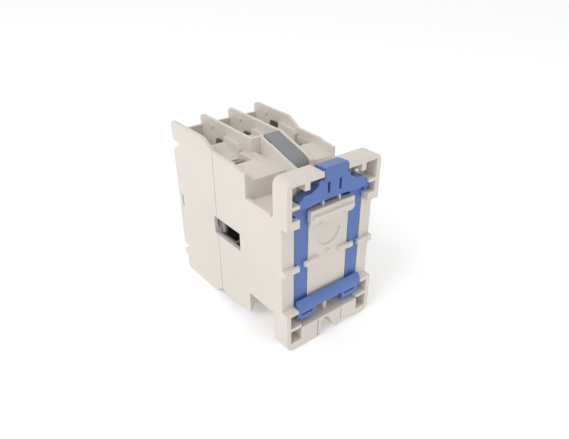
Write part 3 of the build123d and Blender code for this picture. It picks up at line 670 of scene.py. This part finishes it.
def make_screws():
    for node, name, head, shank, head_height, slot_width in (
            ("power_screws", "terminal_screws", 2.9, 1.7, 2.6, 0.8),
            ("control_screws", "coil_and_aux_screws", 2.5, 1.45, 2.0, 0.8),
            ("housing_screws", "housing_screws_driven", 2.1, 1.2, 1.6, 0.6)):
        boxes = islands(node)
        pattern = screw_pattern(name + "_source", *boxes[0], head * MM, shank * MM, head_height * MM,
                                slot_width * MM)
        points = [((a.x + b.x) / 2, a.y, (a.z + b.z) / 2) for a, b in boxes]
        spread(name, node, pattern, points, turn=(0, math.pi, 0), seed=8)


def domed_disc(name, radius, low_y, high_y, towards):
    """A contact tip: a disc whose face towards +Y or -Y is a shallow dome."""
    thick = high_y - low_y
    rise = thick * 0.35
    rows = 6
    profile = [(0, 0), (radius * 0.94, 0), (radius, thick * 0.06), (radius, thick - rise)]
    turns = [math.pi / 2 * k / rows for k in range(1, rows)]
    profile += [(radius * math.cos(turn), thick - rise + rise * math.sin(turn)) for turn in turns]
    profile.append((0, thick))
    if towards < 0:
        profile = [(r, thick - y) for r, y in profile]
    mesh = turned(name, profile, 32)
    mark_wear(mesh)
    return mesh


def make_tips():
    fixed = [("power_contact_tips", "fixed_power_tips"), ("aux_contact_tips", "fixed_aux_tips")]
    moving = [(f"bridge_tips_{n}", f"moving_tips_{n}") for n in (1, 2, 3)]
    moving.append(("aux_bridge_tips", "moving_aux_tips"))
    for group, towards in ((fixed, -1), (moving, 1)):
        for node, name in group:
            boxes = islands(node)
            low, high = boxes[0]
            source = domed_disc(name + "_source", (high.x - low.x) / 2, low.y, high.y, towards)
            points = [((a.x + b.x) / 2, a.y, (a.z + b.z) / 2) for a, b in boxes]
            spread(name, node, source, points, turn=(0, math.pi, 0), seed=5)


def make_rivets():
    for node in ("fixed_core_rivets", "moving_core_rivets"):
        boxes = islands(node)
        low, high = boxes[0]
        head, length, lip = (high.z - low.z) / 2, high.x - low.x, 0.6 * MM
        shank = 1.49 * MM
        end = [(0, 0), (head * 0.55, 0.03 * MM), (head * 0.86, 0.16 * MM), (head, lip * 0.7), (head, lip),
               (shank, lip)]
        profile = end + [(r, length - y) for r, y in reversed(end)]
        source = turned(node + "_source", profile, 32)
        source.transform(Matrix.Rotation(-math.pi / 2, 4, "Z"))
        points = [(a.x, (a.y + b.y) / 2, (a.z + b.z) / 2) for a, b in boxes]
        spread(node.replace("rivets", "stack_rivets"), node, source, points)


def make_lamination_stacks():
    """The two cores as punched sheets side by side: one sheet is cut from the core's end face."""
    sheets = 26
    for node in ("fixed_core", "moving_core"):
        low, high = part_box(node)
        pitch = (high.x - low.x) / sheets
        made = bmesh.new()
        made.from_mesh(nodes[node].data)
        bmesh.ops.remove_doubles(made, verts=made.verts, dist=2e-6)
        side = [f for f in made.faces if f.normal.x > 0.9 and f.calc_center_median().x > high.x - 1e-5]
        bmesh.ops.delete(made, geom=[f for f in made.faces if f not in set(side)], context="FACES")
        for vert in made.verts:
            vert.co.x = pitch * 0.94
        lifted = bmesh.ops.extrude_face_region(made, geom=made.faces[:])
        for item in lifted["geom"]:
            if isinstance(item, bmesh.types.BMVert):
                item.co.x = pitch * 0.04
        bmesh.ops.dissolve_limit(made, angle_limit=math.radians(0.5), verts=made.verts, edges=made.edges)
        sheet = applied(node + "_sheet", from_bmesh(node + "_sheet", made), [bevel(0.03 * MM, 1, 50)])
        mark_wear(sheet)
        points = [(low.x + pitch * k, 0, 0) for k in range(sheets)]
        spread(node + "_stack", node, sheet, points, shift=(0, 0, 0.00001), seed=21)


def make_winding():
    """The coil's outer layer of enamelled wire, turn beside turn, in place of the CAD winding."""
    node = "coil_winding"
    low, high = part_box(node)
    wire = 0.30 * MM
    corner = 4.0 * MM - wire
    half_x, half_z = high.x - wire, high.z - wire
    path = []
    for quarter, (cx, cz) in enumerate(((1, 1), (-1, 1), (-1, -1), (1, -1))):
        for step in range(9):
            angle = (quarter + step / 8) * math.pi / 2
            path.append((cx * (half_x - corner) + corner * math.cos(angle),
                         cz * (half_z - corner) + corner * math.sin(angle)))
    made = bmesh.new()
    rings = []
    sides = 8
    for k, (x, z) in enumerate(path):
        before, after = path[k - 1], path[(k + 1) % len(path)]
        out = Vector((after[1] - before[1], 0, before[0] - after[0])).normalized()
        rings.append([made.verts.new(Vector((x, 0, z)) + out * wire * math.cos(math.tau * s / sides)
                                     + Vector((0, wire * math.sin(math.tau * s / sides), 0)))
                      for s in range(sides)])
    for k, ring in enumerate(rings):
        following = rings[(k + 1) % len(rings)]
        for s in range(sides):
            made.faces.new((ring[s], ring[(s + 1) % sides], following[(s + 1) % sides], following[s]))
    source = from_bmesh("wire_turn", made)
    turns = int((high.y - low.y) / (2.02 * wire))
    pitch = (high.y - low.y - 2 * wire) / (turns - 1)
    points = [(0, low.y + wire + pitch * k, 0) for k in range(turns)]
    spread("wire_turns", node, source, points, shift=(0.00002, 0, 0.00002), seed=4)


def make_springs():
    """Each spring is wound on its own axis."""
    rows = [("return_springs", 0.30, 6.0, "carrier_slide", 1, 5.0)]
    rows += [(f"contact_spring_{n}", 0.30, 5.0, f"moving_contact_{n}_slide", -1, 1.3) for n in (1, 2, 3)]
    rows.append(("aux_contact_spring", 0.25, 4.0, "moving_aux_contact_slide", -1, 1.3))
    for node, wire, turns, joint, fixed_end, travel in rows:
        low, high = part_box(node)
        wire *= MM
        outer = (high.z - low.z) / 2
        middle_z = (high.z + low.z) / 2
        centres = sorted({round(low.x + outer, 6), round(high.x - outer, 6)})
        length = high.y - low.y
        mesh = run_tree(node + "_wire", SPRING, [(x, low.y, middle_z) for x in centres], {
            "Radius": outer - wire, "Wire": wire, "Length": length, "Turns": turns,
            "Finish": MATERIALS["spring_steel"]})
        shade_smooth(mesh, 60.0)
        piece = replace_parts(add_object(node + "_wound", mesh, node), node)
        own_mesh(piece)


def make_side_wedges():
    """The slider's springy wedges, as a rounded moulding."""
    piece = moulding("clip_leaf_springs", "slider_side_wedges", 0.18 * MM)
    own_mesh(piece)


# ------------------------------------------------------------------ stage, light and camera
def area_light(name, place, aim, power, size, colour=(1, 1, 1)):
    light = bpy.data.lights.new(name, "AREA")
    light.energy = power
    light.shape = "RECTANGLE"
    light.size, light.size_y = size
    light.color = colour
    holder = bpy.data.objects.new(name, light)
    holder.location = place
    holder.rotation_euler = (Vector(aim) - Vector(place)).to_track_quat("-Z", "Y").to_euler()
    bpy.context.scene.collection.objects.link(holder)


def stage_material(name, colour):
    material, _, shader = start_material(name)
    shader.inputs["Base Color"].default_value = (*colour, 1)
    shader.inputs["Roughness"].default_value = 0.9
    shader.inputs["Emission Color"].default_value = (1.0, 1.0, 1.0, 1)
    shader.inputs["Emission Strength"].default_value = 0.20
    return material


def make_stage():
    """A pale floor that curves up into a pale backdrop."""
    floor_z = cad_box[0].z - 0.0002
    reach, rise, bend = 1.6, 1.4, 0.5
    steps = 16
    profile = [(2.0, 0.0), (-reach, 0.0)]
    turns = [step * math.pi / 2 / steps for step in range(1, steps + 1)]
    profile += [(-reach - bend * math.sin(turn), bend * (1 - math.cos(turn))) for turn in turns]
    profile.append((-reach - bend, rise))
    made = bmesh.new()
    rows = []
    for y, z in profile:
        rows.append([made.verts.new((x, y, floor_z + z)) for x in (-3.0, 3.0)])
    for low, high in zip(rows, rows[1:]):
        made.faces.new((low[0], low[1], high[1], high[0]))
    mesh = bpy.data.meshes.new("studio_sweep")
    made.to_mesh(mesh)
    made.free()
    mesh.materials.append(stage_material("studio_paper", (0.92, 0.92, 0.92)))
    sweep = bpy.data.objects.new("studio_sweep", mesh)
    sweep.rotation_euler = (0, 0, math.radians(-39))
    bpy.context.scene.collection.objects.link(sweep)


def make_light():
    world = bpy.data.worlds.new("studio")
    world.use_nodes = True
    background = world.node_tree.nodes["Background"]
    background.inputs["Color"].default_value = (1.0, 1.0, 1.0, 1)
    background.inputs["Strength"].default_value = 0.70
    bpy.context.scene.world = world
    area_light("key", (1.00, 0.10, 1.05), (0, -0.04, 0), 7.4, (0.7, 0.7))
    area_light("fill", (-0.35, 0.7, 0.5), (0, -0.04, 0), 0.5, (0.7, 0.5))
    bpy.context.scene.view_settings.view_transform = "Standard"


def make_camera():
    yaw, pitch, roll = (math.radians(a) for a in (38.93, 31.47, 0.25))
    ahead = Vector((-math.sin(yaw) * math.cos(pitch), -math.cos(yaw) * math.cos(pitch), -math.sin(pitch)))
    camera = bpy.data.cameras.new("camera")
    camera.lens = 32.6
    camera.shift_x = -0.0130
    camera.shift_y = 0.0315
    camera.clip_start = 0.01
    holder = bpy.data.objects.new("camera", camera)
    holder.location = (0.11634, 0.11881, 0.10970)
    turn = ahead.to_track_quat("-Z", "Y").to_matrix() @ Matrix.Rotation(roll, 3, "Z")
    holder.rotation_euler = turn.to_euler()
    bpy.context.scene.collection.objects.link(holder)
    bpy.context.scene.camera = holder


make_camera()
make_stage()
make_light()
make_mouldings()
make_pressed_parts()
make_screws()
make_tips()
make_rivets()
make_lamination_stacks()
make_winding()
make_springs()
make_side_wedges()
